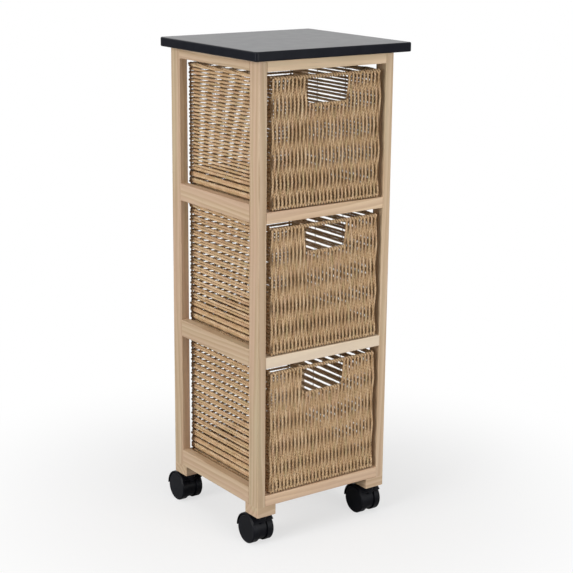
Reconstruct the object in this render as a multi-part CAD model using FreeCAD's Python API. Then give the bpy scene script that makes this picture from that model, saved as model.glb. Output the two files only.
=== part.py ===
import FreeCAD, Part
import math
import os

from FreeCAD import Vector

# A rolling cabinet: two ladder-shaped timber sides joined by rails, a flat top, three
# woven baskets that slide on hidden runners, and four hooded twin-wheel castors.
# Millimetres, +X right, +Y back, +Z up. The front faces -Y, and the origin is on the
# floor under the middle of the whole outline.

# Timber frame
frame_width = 259.0
frame_depth = 255.0
board_thickness = 15.0
stile_depth = 26.0
rail_height = 18.0
side_rail_height = 28.5
bay_height = 216.0
edge_ease = 0.8

# Stub tenons, glued in the stiles
front_tenon_length = 9.0
side_tenon_length = 10.0
tenon_thickness = 7.0
tenon_shoulder = 3.0
tenon_fit = 0.1

# Top panel
top_thickness = 15.0
top_overhang_left = 17.7
top_overhang_right = 23.3
top_overhang_front = 17.0
top_overhang_back = 6.0
top_corner_radius = 5.0
top_edge_radius = 2.0

# Runners that carry the baskets
runner_width = 24.0
runner_height = 12.0
runner_rise = 1.2

# Baskets, which stand a touch to the right in their bays
basket_side_gap = 9.0
basket_shift = 1.0
basket_recess = 1.0
basket_back_gap = 13.5
basket_lift = 0.3
basket_rim_gap = 8.7
basket_corner_radius = 6.5
weave_thickness = 4.0
weave_joint_gap = 0.3
rim_ease = 1.5
hole_width = 84.0
hole_height = 36.5
hole_drop = 7.0
hole_shift = -3.5
hole_corner_radius = 8.0

# Welded wire cage that each basket is woven on
loop_wire_radius = 2.0
thin_wire_radius = 1.5
cross_wire_spacing = 80.0
cage_gap = 0.3
cage_rim_drop = 1.0

# Foot blocks and castor stems
foot_size = 36.0
foot_height = 17.0
stem_radius = 4.0
stem_length = 14.0
stem_fit = 0.05
stem_end_gap = 0.3
collar_radius = 6.5
swivel_gap = 0.3
swivel_pin_radius = 3.5
swivel_pin_length = 15.0
swivel_fit = 0.05
pin_end_gap = 0.3

# Castors
castor_height = 53.0
castor_trail = 13.0
wheel_radius = 24.0
wheel_width = 12.0
wheel_chamfer = 1.5
wheel_side_gap = 1.0
wheel_wall = 1.5
core_thickness = 14.0
core_radius = 21.5
hood_gap = 1.2
hood_thickness = 2.5
hood_front_angle = 38.0
hood_rear_angle = 180.0
hood_edge_ease = 0.8
boss_radius = 9.0
boss_height = 51.0
axle_radius = 3.0
axle_fit = 0.05
axle_end_gap = 0.3

# How far a cutting or joining shape runs past the face it goes through
overrun = 1.0

# How closely an edge has to follow a direction to count as running along it
direction_tolerance = 0.000001

# Levels of the frame, from the lowest rails up
rail_names = ["bottom", "lower", "upper", "top"]
basket_names = ["bottom", "middle", "top"]
corner_names = {"left": -1, "right": 1}
end_names = {"front": -1, "back": 1}

# Sizes worked out from the ones above
frame_bottom = castor_height + foot_height
level_pitch = bay_height + rail_height
frame_top = frame_bottom + len(basket_names) * level_pitch + rail_height
half_width = frame_width / 2
half_depth = frame_depth / 2
inner_half_width = half_width - board_thickness
swivel_x = half_width - foot_size / 2
swivel_y = half_depth - foot_size / 2
hood_inner_radius = wheel_radius + hood_gap
hood_radius = hood_inner_radius + hood_thickness
castor_width = core_thickness + 2 * (wheel_side_gap + wheel_width)
basket_half_width = inner_half_width - basket_side_gap
basket_front = -half_depth + basket_recess
basket_back = half_depth - basket_back_gap
basket_height = bay_height - runner_rise - basket_lift - basket_rim_gap
hole_top = basket_height - hole_drop
hole_bottom = hole_top - hole_height
front_half_width = basket_half_width - basket_corner_radius

# The outline runs from the top's front edge to the rear castors' hoods or the top's back
# edge, and the frame's middle is moved so that the outline's middle is at the origin.
outline_front = -half_depth - top_overhang_front
outline_back = max(half_depth + top_overhang_back, swivel_y + castor_trail + hood_radius)
frame_x = (top_overhang_left - top_overhang_right) / 2
frame_y = -(outline_front + outline_back) / 2


def block(x_range, y_range, z_range):
    """A rectangular solid between the lower and upper value along each axis."""
    corner = Vector(x_range[0], y_range[0], z_range[0])
    sizes = [span[1] - span[0] for span in (x_range, y_range, z_range)]
    return Part.makeBox(sizes[0], sizes[1], sizes[2], corner)


def rod(radius, start, end):
    """A round bar from one point to another."""
    along = end - start
    return Part.makeCylinder(radius, along.Length, start, along)


def edges_along(solid, direction):
    """The straight edges of a solid that run along a direction."""
    found = []
    for edge in solid.Edges:
        span = edge.valueAt(edge.LastParameter) - edge.valueAt(edge.FirstParameter)
        if abs(abs(span.dot(direction)) - edge.Length) < direction_tolerance:
            found.append(edge)
    return found


def ease_along(solid, direction, size):
    """A board with the edges that follow its grain taken off."""
    return solid.makeChamfer(size, edges_along(solid, direction))


def fuse(shapes):
    """Several solids joined into one, without the seams between flush faces."""
    return shapes[0].fuse(shapes[1:]).removeSplitter()


def save(node, *solids):
    """Move the solids from the frame's middle to the outline's and write them as one node."""
    shape = solids[0] if len(solids) == 1 else Part.makeCompound(list(solids))
    moved = shape.copy()
    moved.translate(Vector(frame_x, frame_y, 0))
    moved.exportStep("parts/" + node + ".step")


def rail_bottom(level):
    return frame_bottom + level * level_pitch


def runner_top(level):
    """The height on which a basket slides, just clear of the front rail's top."""
    return rail_bottom(level) + rail_height + runner_rise


def side_height(level):
    """The lower side rails are deeper, so that they also guide the basket above them."""
    is_top = level == len(rail_names) - 1
    return rail_height if is_top else side_rail_height


def ordered(a, b):
    return (min(a, b), max(a, b))


def tenon_z(level, height, clearance):
    bottom = rail_bottom(level) + tenon_shoulder
    top = rail_bottom(level) + height - tenon_shoulder
    return (bottom - clearance, top + clearance)


def front_tenon(level, side, end, clearance):
    """The stub of a front or back rail inside a stile, or its mortise with a clearance."""
    middle = end * (half_depth - board_thickness / 2)
    reach = tenon_thickness / 2 + clearance
    shoulder = side * (inner_half_width - clearance)
    tip = side * (inner_half_width + front_tenon_length + clearance)
    return block(ordered(shoulder, tip), (middle - reach, middle + reach),
                 tenon_z(level, rail_height, clearance))


def side_tenon(level, side, end, clearance):
    """The stub of a side rail inside a stile, or its mortise with a clearance."""
    middle = side * (half_width - board_thickness / 2)
    reach = tenon_thickness / 2 + clearance
    shoulder = end * (half_depth - stile_depth - clearance)
    tip = end * (half_depth - stile_depth + side_tenon_length + clearance)
    return block((middle - reach, middle + reach), ordered(shoulder, tip),
                 tenon_z(level, side_height(level), clearance))


def stile(side, end):
    """One upright, with a mortise for each rail that meets it."""
    x_range = ordered(side * inner_half_width, side * half_width)
    y_range = ordered(end * (half_depth - stile_depth), end * half_depth)
    board = ease_along(block(x_range, y_range, (frame_bottom, frame_top)), Vector(0, 0, 1), edge_ease)
    mortises = []
    for level in range(len(rail_names)):
        mortises.append(front_tenon(level, side, end, tenon_fit))
        mortises.append(side_tenon(level, side, end, tenon_fit))
    return board.cut(mortises)


def cross_rail(level, end):
    """A rail across the front or the back, between the two side frames."""
    y_range = ordered(end * (half_depth - board_thickness), end * half_depth)
    z_range = (rail_bottom(level), rail_bottom(level) + rail_height)
    board = block((-inner_half_width, inner_half_width), y_range, z_range)
    board = ease_along(board, Vector(1, 0, 0), edge_ease)
    return fuse([board] + [front_tenon(level, side, end, 0) for side in (-1, 1)])


def side_rail(level, side):
    """A rung of one ladder-shaped side, flush with its outer face."""
    x_range = ordered(side * inner_half_width, side * half_width)
    z_range = (rail_bottom(level), rail_bottom(level) + side_height(level))
    reach = half_depth - stile_depth
    board = ease_along(block(x_range, (-reach, reach), z_range), Vector(0, 1, 0), edge_ease)
    return fuse([board] + [side_tenon(level, side, end, 0) for end in (-1, 1)])


def runner(level, side):
    """A strip inside a side frame, a little higher than the rails that it runs between."""
    x_range = ordered(side * (inner_half_width - runner_width), side * inner_half_width)
    reach = half_depth - board_thickness
    top = runner_top(level)
    return block(x_range, (-reach, reach), (top - runner_height, top))


def top_panel():
    """The flat top, with rounded corners and rounded edges."""
    x_range = (-half_width - top_overhang_left, half_width + top_overhang_right)
    y_range = (-half_depth - top_overhang_front, half_depth + top_overhang_back)
    panel = block(x_range, y_range, (frame_top, frame_top + top_thickness))
    panel = panel.makeFillet(top_corner_radius, edges_along(panel, Vector(0, 0, 1)))
    rims = [edge for edge in panel.Edges if edge.BoundBox.ZLength < top_edge_radius]
    return panel.makeFillet(top_edge_radius, rims)


def foot_block(side, end):
    """The block under a corner of the frame, drilled for the castor's threaded stem."""
    x_range = ordered(side * (half_width - foot_size), side * half_width)
    y_range = ordered(end * (half_depth - foot_size), end * half_depth)
    board = block(x_range, y_range, (castor_height, frame_bottom))
    board = ease_along(board, Vector(0, 0, 1), edge_ease)
    mouth = Vector(side * swivel_x, end * swivel_y, castor_height - overrun)
    depth = Vector(0, 0, overrun + stem_length + stem_end_gap)
    return board.cut(rod(stem_radius + stem_fit, mouth, mouth + depth))


def castor_stem():
    """Threaded stem, the collar under the foot block, and the pin that the castor turns on."""
    foot = Vector(0, 0, castor_height)
    shoulder = Vector(0, 0, boss_height + swivel_gap)
    thread = rod(stem_radius, foot, foot + Vector(0, 0, stem_length))
    collar = rod(collar_radius, shoulder, foot)
    pin = rod(swivel_pin_radius, shoulder - Vector(0, 0, swivel_pin_length), shoulder)
    return fuse([thread, collar, pin])


def around_axle(radius, degrees, x):
    """A point round the axle, by its angle up from the front."""
    angle = math.radians(degrees)
    return Vector(x, castor_trail - radius * math.cos(angle), wheel_radius + radius * math.sin(angle))


def hood_sector(inner, outer, width):
    """A curved wall round the axle, over the hood's angle and a width along the axle."""
    x = -width / 2
    middle = (hood_front_angle + hood_rear_angle) / 2
    outer_arc = Part.Arc(around_axle(outer, hood_front_angle, x), around_axle(outer, middle, x),
                         around_axle(outer, hood_rear_angle, x)).toShape()
    rear = Part.makeLine(around_axle(outer, hood_rear_angle, x), around_axle(inner, hood_rear_angle, x))
    inner_arc = Part.Arc(around_axle(inner, hood_rear_angle, x), around_axle(inner, middle, x),
                         around_axle(inner, hood_front_angle, x)).toShape()
    front = Part.makeLine(around_axle(inner, hood_front_angle, x), around_axle(outer, hood_front_angle, x))
    outline = Part.Wire([outer_arc, rear, inner_arc, front])
    return Part.Face(outline).extrude(Vector(width, 0, 0))


def across_axle(radius, width):
    """A disc on the axle, centred between the wheels."""
    centre = Vector(-width / 2, castor_trail, wheel_radius)
    return rod(radius, centre, centre + Vector(width, 0, 0))


def castor_housing():
    """The moulded body: a core between the wheels, a hood over them and the swivel boss."""
    hood = hood_sector(hood_inner_radius, hood_radius, castor_width)
    hood = hood.makeChamfer(hood_edge_ease, [edge for edge in hood.Edges if is_hood_rim(edge)])
    neck = rod(boss_radius, Vector(0, 0, wheel_radius), Vector(0, 0, boss_height))
    neck = neck.cut(across_axle(hood_inner_radius, castor_width))
    web = hood_sector(core_radius - overrun, hood_inner_radius + overrun, core_thickness)
    body = fuse([hood, neck, web, across_axle(core_radius, core_thickness)])
    pin_depth = swivel_pin_length - swivel_gap + pin_end_gap
    socket = rod(swivel_pin_radius + swivel_fit, Vector(0, 0, boss_height - pin_depth),
                 Vector(0, 0, boss_height + overrun))
    return body.cut([socket, across_axle(axle_radius + axle_fit, core_thickness + 2 * overrun)])


def is_hood_rim(edge):
    """The two outer curved edges of the hood, beside the wheels' faces."""
    curved = isinstance(edge.Curve, Part.Circle)
    return curved and edge.Curve.Radius > hood_inner_radius + hood_thickness / 2


def castor_axle():
    """The pin through the core, whose ends run in the wheels' blind hubs."""
    hub_depth = wheel_side_gap + wheel_width - wheel_wall - axle_end_gap
    return across_axle(axle_radius, core_thickness + 2 * hub_depth)


def castor_wheel(side):
    """A wheel with a closed outer face and a blind hub, made by turning its half section."""
    near = core_thickness / 2 + wheel_side_gap
    far = near + wheel_width
    bore = axle_radius + axle_fit
    half_section = [
        (near, bore),
        (near, wheel_radius),
        (far - wheel_chamfer, wheel_radius),
        (far, wheel_radius - wheel_chamfer),
        (far, 0),
        (far - wheel_wall, 0),
        (far - wheel_wall, bore),
    ]
    points = [Vector(side * x, castor_trail, wheel_radius + r) for x, r in half_section]
    outline = Part.makePolygon(points + points[:1])
    centre = Vector(0, castor_trail, wheel_radius)
    return Part.Face(outline).revolve(centre, Vector(1, 0, 0), 360)


def basket_block(inset, z_range):
    """A block with the basket's plan, set in from its outer faces all round. A basket is drawn
    on the frame's middle across the width, and moved to its bay afterwards."""
    return block((-basket_half_width + inset, basket_half_width - inset),
                 (basket_front + inset, basket_back - inset), z_range)


def side_weave():
    """The woven band round the sides and back, with its ends turned round the front uprights."""
    outside = basket_block(0, (0, basket_height))
    outside = outside.makeFillet(basket_corner_radius, edges_along(outside, Vector(0, 0, 1)))
    rim = [edge for edge in outside.Edges if edge.BoundBox.ZMin > basket_height - overrun]
    outside = outside.makeChamfer(rim_ease, rim)
    inside = basket_block(weave_thickness, (-overrun, basket_height + overrun))
    front_bay = block((-front_half_width, front_half_width),
                      (basket_front - overrun, basket_front + weave_thickness + overrun),
                      (-overrun, basket_height + overrun))
    return outside.cut([inside, front_bay])


def front_weave():
    """The woven front between the band's ends, with its handle hole."""
    reach = front_half_width - weave_joint_gap
    y_range = (basket_front, basket_front + weave_thickness)
    panel = block((-reach, reach), y_range, (0, basket_height))
    rim = [edge for edge in edges_along(panel, Vector(1, 0, 0)) if is_front_rim(edge)]
    panel = panel.makeChamfer(rim_ease, rim)
    hole = block((hole_shift - hole_width / 2, hole_shift + hole_width / 2),
                 (y_range[0] - overrun, y_range[1] + overrun), (hole_bottom, hole_top))
    low_corners = [edge for edge in edges_along(hole, Vector(0, 1, 0)) if edge.BoundBox.ZMax < hole_top]
    return panel.cut(hole.makeFillet(hole_corner_radius, low_corners))


def is_front_rim(edge):
    return edge.BoundBox.ZMin > hole_top and edge.BoundBox.YMax < basket_front + weave_thickness / 2


def base_weave():
    """The woven bottom, inside the foot of the walls."""
    return basket_block(weave_thickness + weave_joint_gap, (0, weave_thickness))


def wire_loop(corners):
    """A closed loop of thick wire with mitred corners, started from the middle of its front."""
    start = (corners[0] + corners[1]) / 2
    path = Part.makePolygon([start] + corners[1:] + corners[:1] + [start])
    section = Part.Wire(Part.makeCircle(loop_wire_radius, start, corners[1] - corners[0]))
    as_solid, frenet, mitred = True, False, 1
    return path.makePipeShell([section], as_solid, frenet, mitred)


def wire_cage():
    """The cage inside the woven walls: a rim and a base loop, corner uprights and cross wires."""
    inset = weave_thickness + cage_gap + loop_wire_radius
    x = basket_half_width - inset
    front = basket_front + inset
    back = basket_back - inset
    low = Vector(0, 0, inset)
    high = Vector(0, 0, basket_height - cage_rim_drop - loop_wire_radius)
    corners = [Vector(-x, front, 0), Vector(x, front, 0), Vector(x, back, 0), Vector(-x, back, 0)]
    wires = [wire_loop([corner + z for corner in corners]) for z in (low, high)]
    wires += [rod(thin_wire_radius, corner + low, corner + high) for corner in corners]
    for side in (-1, 1):
        along = Vector(side * cross_wire_spacing / 2, 0, 0)
        wires.append(rod(thin_wire_radius, along + Vector(0, front, inset), along + Vector(0, back, inset)))
    return fuse(wires)


def placed(shape, x, y, z):
    """A copy of a basket or castor piece in its place in the frame."""
    copy = shape.copy()
    copy.translate(Vector(x, y, z))
    return copy


def build_frame():
    for side_name, side in corner_names.items():
        for level, rail_name in enumerate(rail_names):
            save("side_rail_" + side_name + "_" + rail_name, side_rail(level, side))
        for end_name, end in end_names.items():
            save("stile_" + end_name + "_" + side_name, stile(side, end))
            save("foot_block_" + end_name + "_" + side_name, foot_block(side, end))
    for end_name, end in end_names.items():
        for level, rail_name in enumerate(rail_names):
            save(end_name + "_rail_" + rail_name, cross_rail(level, end))
    for level, basket_name in enumerate(basket_names):
        save(basket_name + "_runners", runner(level, -1), runner(level, 1))
    save("top_panel", top_panel())


def build_baskets():
    pieces = {
        "wire_cage": wire_cage(),
        "side_weave": side_weave(),
        "front_weave": front_weave(),
        "base_weave": base_weave(),
    }
    for level, basket_name in enumerate(basket_names):
        z = runner_top(level) + basket_lift
        for piece_name, shape in pieces.items():
            save(basket_name + "_basket_" + piece_name, placed(shape, basket_shift, 0, z))


def build_castors():
    pieces = {
        "housing": castor_housing(),
        "axle": castor_axle(),
        "wheel_left": castor_wheel(-1),
        "wheel_right": castor_wheel(1),
    }
    corners = [(side * swivel_x, end * swivel_y) for side in (-1, 1) for end in (-1, 1)]
    save("castor_stems", *[placed(castor_stem(), x, y, 0) for x, y in corners])
    for side_name, side in corner_names.items():
        for end_name, end in end_names.items():
            for piece_name, shape in pieces.items():
                node = "castor_" + end_name + "_" + side_name + "_" + piece_name
                save(node, placed(shape, side * swivel_x, end * swivel_y, 0))


os.makedirs("parts", exist_ok=True)
build_frame()
build_baskets()
build_castors()
print("frame from", frame_bottom, "to", frame_top, "mm, basket height", basket_height, "mm")
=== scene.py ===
# %% [markdown]
# # A rolling cabinet with three woven baskets
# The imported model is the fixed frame. This lesson dresses it: pale boards get their grain, the
# top its dark lacquer, and each basket is woven again, strand by strand, from twisted seagrass
# on a wire cage. A cell that makes something prints what it made, so that a reader can follow.

# %% Load the frame
import math

import bmesh
import bpy
import numpy as np
from mathutils import Matrix, Vector


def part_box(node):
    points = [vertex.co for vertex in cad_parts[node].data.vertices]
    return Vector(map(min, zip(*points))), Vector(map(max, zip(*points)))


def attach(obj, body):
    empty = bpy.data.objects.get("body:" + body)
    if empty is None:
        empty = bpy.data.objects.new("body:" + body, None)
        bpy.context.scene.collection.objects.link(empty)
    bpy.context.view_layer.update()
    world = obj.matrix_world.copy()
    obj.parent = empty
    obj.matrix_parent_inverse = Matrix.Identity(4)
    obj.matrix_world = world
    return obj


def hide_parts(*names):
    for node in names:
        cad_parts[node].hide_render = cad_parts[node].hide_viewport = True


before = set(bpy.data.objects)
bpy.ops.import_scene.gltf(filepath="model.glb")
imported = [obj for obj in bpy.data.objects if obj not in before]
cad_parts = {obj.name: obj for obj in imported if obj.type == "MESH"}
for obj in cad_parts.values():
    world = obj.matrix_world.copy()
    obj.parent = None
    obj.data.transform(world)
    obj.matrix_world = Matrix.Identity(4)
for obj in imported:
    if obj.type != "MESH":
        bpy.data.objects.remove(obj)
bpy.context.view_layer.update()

MM = 0.001
levels = ["bottom", "middle", "top"]

# %% [markdown]
# ## Small helpers for node trees
# Both materials and Geometry Nodes are trees of nodes. Writing each node and link by hand takes
# many lines, so a short helper adds one node, sets its properties and fills its inputs: a socket
# is linked, and anything else becomes the input's own value. The rest are names for the sums that
# come up again and again. Below, g is always such a helper, and s holds a tree's named inputs.


# %% A node tree under construction
class Graph:
    """Adds nodes to a tree. Inputs are given by name or by number."""

    def __init__(self, tree):
        self.tree = tree

    def add(self, kind, inputs=None, **settings):
        made = self.tree.nodes.new(kind)
        for key, value in settings.items():
            setattr(made, key, value)
        for key, value in (inputs or {}).items():
            if isinstance(value, bpy.types.NodeSocket):
                self.tree.links.new(value, made.inputs[key])
            else:
                made.inputs[key].default_value = value
        return made

    def out(self, kind, inputs=None, output=0, **settings):
        return self.add(kind, inputs, **settings).outputs[output]

    def math(self, operation, *values):
        return self.out("ShaderNodeMath", dict(enumerate(values)), operation=operation)

    def times(self, first, second):
        return self.math("MULTIPLY", first, second)

    def plus(self, *values):
        total = values[0]
        for value in values[1:]:
            total = self.math("ADD", total, value)
        return total

    def remap(self, value, low, high, to_low=0.0, to_high=1.0, smooth=False):
        kind = "SMOOTHSTEP" if smooth else "LINEAR"
        inputs = {0: value, 1: low, 2: high, 3: to_low, 4: to_high}
        return self.out("ShaderNodeMapRange", inputs, interpolation_type=kind)

    def xyz(self, x=0.0, y=0.0, z=0.0):
        return self.out("ShaderNodeCombineXYZ", {0: x, 1: y, 2: z})

    def vector(self, operation, *values):
        return self.out("ShaderNodeVectorMath", dict(enumerate(values)), operation=operation)

    def scaled(self, vector, factor):
        return self.out("ShaderNodeVectorMath", {0: vector, 3: factor}, operation="SCALE")

    def measure(self, operation, *values):
        return self.out("ShaderNodeVectorMath", dict(enumerate(values)), 1, operation=operation)

    def noise(self, vector, scale, detail, output=0):
        inputs = {"Vector": vector, "Scale": scale, "Detail": detail}
        return self.out("ShaderNodeTexNoise", inputs, output)

    def shake(self, vector, scale, detail):
        """Noise in three directions that pushes as often one way as the other."""
        return self.vector("SUBTRACT", self.noise(vector, scale, detail, 1), (0.5, 0.5, 0.5))

    def own_place(self):
        """Where a point of the surface lies on its own object."""
        return self.out("ShaderNodeTexCoord", output=3)

    def mixed(self, factor, first, second):
        inputs = {0: factor, 6: first, 7: second}
        return self.out("ShaderNodeMix", inputs, 2, data_type="RGBA")

    def ramp(self, value, stops):
        made = self.add("ShaderNodeValToRGB", {0: value})
        ramp = made.color_ramp
        while len(ramp.elements) < len(stops):
            ramp.elements.new(0.5)
        for element, (place, colour) in zip(ramp.elements, stops):
            element.position = place
            element.color = (*colour, 1.0)
        return made.outputs[0]


# %% A material, its surface and its gloss
def new_material(name, roughness, specular=0.5):
    """A material with its helper and its shader, whose uniform values are set on the shader."""
    material = bpy.data.materials.new(name)
    material.use_nodes = True
    shader = material.node_tree.nodes["Principled BSDF"]
    shader.inputs["Roughness"].default_value = roughness
    shader.inputs["Specular IOR Level"].default_value = specular
    return material, Graph(material.node_tree), shader


def plug(graph, shader, colour, roughness=None, height=None, bump=0.0, distance=0.0):
    """Link the computed colour, roughness and surface height to a shader."""
    graph.tree.links.new(colour, shader.inputs["Base Color"])
    if roughness is not None:
        graph.tree.links.new(roughness, shader.inputs["Roughness"])
    if height is not None:
        inputs = {"Strength": bump, "Distance": distance, "Height": height}
        graph.tree.links.new(graph.out("ShaderNodeBump", inputs), shader.inputs["Normal"])


def slanted_gloss(graph, shader, head_on, slanted):
    """Gloss that grows with the slant of the view, as on rubbed lacquer and moulded plastic."""
    slant = graph.out("ShaderNodeLayerWeight", {"Blend": 0.5}, 1)
    gloss = graph.remap(slant, 0.46, 0.72, head_on, slanted, smooth=True)
    graph.tree.links.new(gloss, shader.inputs["Specular IOR Level"])


def finish_node(name, material):
    """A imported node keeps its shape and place, and gets a new finish."""
    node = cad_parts[name]
    node.data.materials.clear()
    node.data.materials.append(material)


# %% [markdown]
# ## Pale timber
# The boards are a pale, close-grained wood with soft streaks: some pinkish, some greenish-yellow.
# A board shows its tree's rings as stripes along the grain, so the pattern is the distance from
# the middle of a tree that lies beside the board, wavered by noise that is drawn out along the
# grain. Each board has its own place in that tree, so no two look alike. Boards also differ in
# tone, and some tones are painted light and shade. The front rails are made the palest, most of all
# where less light reaches them under the top and near the floor, and one of them is nearly cream.
# A few stiles and side rails are made a little darker.

# %% The timber's colours and rings
# Late wood is the share of a ring after which its dark line falls off.
ring_width = 8.5 * MM
ring_waver = 17 * MM
late_wood = 0.85
wood_stops = [(0.18, (0.68, 0.515, 0.35)), (0.45, (0.605, 0.44, 0.285)), (0.72, (0.51, 0.35, 0.215))]
pink_streak = (0.60, 0.405, 0.29, 1.0)
green_streak = (0.56, 0.475, 0.305, 1.0)
pore_brown = (0.36, 0.24, 0.145, 1.0)
# A cream that a board's colour is lifted towards. On the front rail that uses it, the lift is painted
# light.
cream_lift = (0.90, 0.77, 0.60, 1.0)
darker_by_tone = 0.12


# %% The timber finish
def timber(name, grain, place, tilt, tone, pale):
    """Wood for one board: its grain axis, its place in the tree, its tone and how far it is lifted
    towards cream.
    """
    material, g, shader = new_material(name, roughness=0.55, specular=0.35)
    quarter = math.pi / 2
    turn = {"X": (0.0, quarter, 0.0), "Y": (quarter, 0.0, 0.0), "Z": (0.0, 0.0, 0.0)}[grain]
    along_z = g.out("ShaderNodeMapping", {"Vector": g.own_place(), "Rotation": turn})
    inputs = {"Vector": along_z, "Location": place, "Rotation": (tilt[0], tilt[1], 0.0)}
    in_tree = g.out("ShaderNodeMapping", inputs)

    def drawn_out(across, along):
        return g.vector("MULTIPLY", in_tree, (across, across, along))

    waver = g.scaled(g.shake(drawn_out(14.0, 3.4), 1.0, 3.0), ring_waver)
    split = g.add("ShaderNodeSeparateXYZ", {0: g.vector("ADD", in_tree, waver)})
    squares = [g.math("POWER", split.outputs[axis], 2.0) for axis in range(2)]
    radius = g.math("SQRT", g.plus(*squares))
    rings = g.math("FRACT", g.math("DIVIDE", radius, ring_width))
    ring = g.math("SUBTRACT", g.remap(rings, 0.0, late_wood, smooth=True),
                  g.remap(rings, late_wood, 1.0, smooth=True))
    fibre = g.noise(drawn_out(520.0, 14.0), 1.0, 3.0)
    patch = g.noise(drawn_out(38.0, 2.6), 1.0, 2.0)
    streak = g.noise(drawn_out(150.0, 3.5), 1.0, 2.0)
    darker = 1.0 - darker_by_tone * tone
    stops = [(position, [channel * darker for channel in rgb]) for position, rgb in wood_stops]
    wood = g.ramp(g.plus(g.times(ring, 0.36), g.times(streak, 0.52)), stops)
    pink = g.mixed(g.remap(patch, 0.46, 0.68, 0.0, 0.55, smooth=True), wood, pink_streak)
    green = g.mixed(g.remap(patch, 0.50, 0.30, 0.0, 0.50, smooth=True), pink, green_streak)
    colour = g.mixed(g.remap(fibre, 0.60, 0.74, 0.0, 0.32, smooth=True), green, pore_brown)
    colour = g.mixed(pale, colour, cream_lift)
    rough = g.remap(fibre, 0.3, 0.7, 0.46, 0.66)
    plug(g, shader, colour, rough, fibre, bump=0.18, distance=0.25 * MM)
    return material


# %% Each board's own place and tone
# A tone below zero is paler. A board lies 45 to 75 mm from its tree's heart.
# Set board by board. Besides the boards' own tone, these paint light and shade: paler front rails
# where less light reaches them, and darker stiles and side rails.
tone_and_painted_light = {"front_rail_bottom": -2.7, "front_rail_lower": -1.5, "front_rail_upper": -1.6,
            "front_rail_top": -2.5, "stile_front_left": 0.6, "stile_front_right": -0.3,
            "stile_back_left": 0.5, "side_rail_left_lower": 0.8, "side_rail_left_upper": 0.6}
pale_and_painted_light = {"front_rail_lower": 0.7}
usual_tone = 0.2
nearest_heart, heart_spread = 0.045, 0.03
golden_share = 0.618


def board_finish(node, count):
    """The grain runs along a board's longest side, and its place in the tree comes from its turn."""
    low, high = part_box(node)
    sizes = list(high - low)
    grain = "XYZ"[sizes.index(max(sizes))]
    middle = (low + high) / 2
    across = {"X": (middle.z, middle.y), "Y": (middle.x, middle.z), "Z": (middle.x, middle.y)}[grain]
    angle = 2.4 * count
    away = nearest_heart + heart_spread * (count * golden_share % 1)
    place = (away * math.cos(angle) - across[0], away * math.sin(angle) - across[1], 0.37 * count)
    tilt = (0.03 * math.sin(5.1 * count), 0.03 * math.cos(3.7 * count))
    tone = 0.3 * math.sin(2.9 * count) + tone_and_painted_light.get(node, usual_tone)
    return timber("timber_" + node, grain, place, tilt, tone, pale_and_painted_light.get(node, 0.0))


# %% Dress the boards
board_starts = ("stile", "foot_block", "side_rail", "front_rail", "back_rail")
timber_nodes = [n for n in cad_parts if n.startswith(board_starts) or n.endswith("runners")]
for count, name in enumerate(sorted(timber_nodes)):
    finish_node(name, board_finish(name, count))
print("boards dressed:", len(timber_nodes))

# %% [markdown]
# ## The dark top
# The top is a board under a dark blue-grey lacquer. Seen at a low angle it mirrors the pale room,
# so it looks mid grey, while its edges, seen nearly head on, stay almost black. The colour is
# nearly black, the gloss grows with the slant of the view, the roughness has a faint mottle, and
# fine noise raises the slight ripple that sprayed lacquer has.


# %% The lacquer
def lacquer():
    material, g, shader = new_material("dark_lacquer", roughness=0.34)
    place = g.own_place()
    slanted_gloss(g, shader, 0.10, 0.5)
    mottle = g.noise(place, 45.0, 4.0)
    ripple = g.noise(g.vector("MULTIPLY", place, (900.0, 900.0, 900.0)), 1.0, 2.0)
    colour = g.ramp(mottle, [(0.3, (0.008, 0.009, 0.013)), (0.7, (0.011, 0.012, 0.017))])
    rough = g.remap(mottle, 0.3, 0.7, 0.30, 0.33)
    plug(g, shader, colour, rough, ripple, bump=0.06, distance=0.1 * MM)
    return material


finish_node("top_panel", lacquer())
print("top finished with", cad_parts["top_panel"].data.materials[0].name)

# %% [markdown]
# ## Seagrass, cage wire, moulded plastic and zinc
# Seagrass is twisted into a strand, so its grooves wind round it. The sweep that makes a strand
# leaves attributes on its surface: how far along the strand a point is, which way round it lies,
# which strand it is on and how deep it sits in the weave. The material turns them into a twist
# that follows every bend, with colour that changes from strand to strand. It paints shade into
# the grooves between the plies and into the dips of the weave.

# %% Seagrass
straw_stops = [(0.30, (0.39, 0.235, 0.12)), (0.47, (0.605, 0.405, 0.225)),
               (0.60, (0.75, 0.54, 0.33)), (0.78, (0.92, 0.74, 0.52))]
green_grass = (0.50, 0.41, 0.21, 1.0)
pink_grass = (0.62, 0.39, 0.26, 1.0)
# Painted shade for the grooves where the two plies of a strand meet.
painted_groove_shade = (0.25, 0.14, 0.065, 1.0)
# Painted shade: the dark brown that the dips of the weave are darkened towards.
painted_dip_shade = (0.115, 0.06, 0.026, 1.0)


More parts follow.
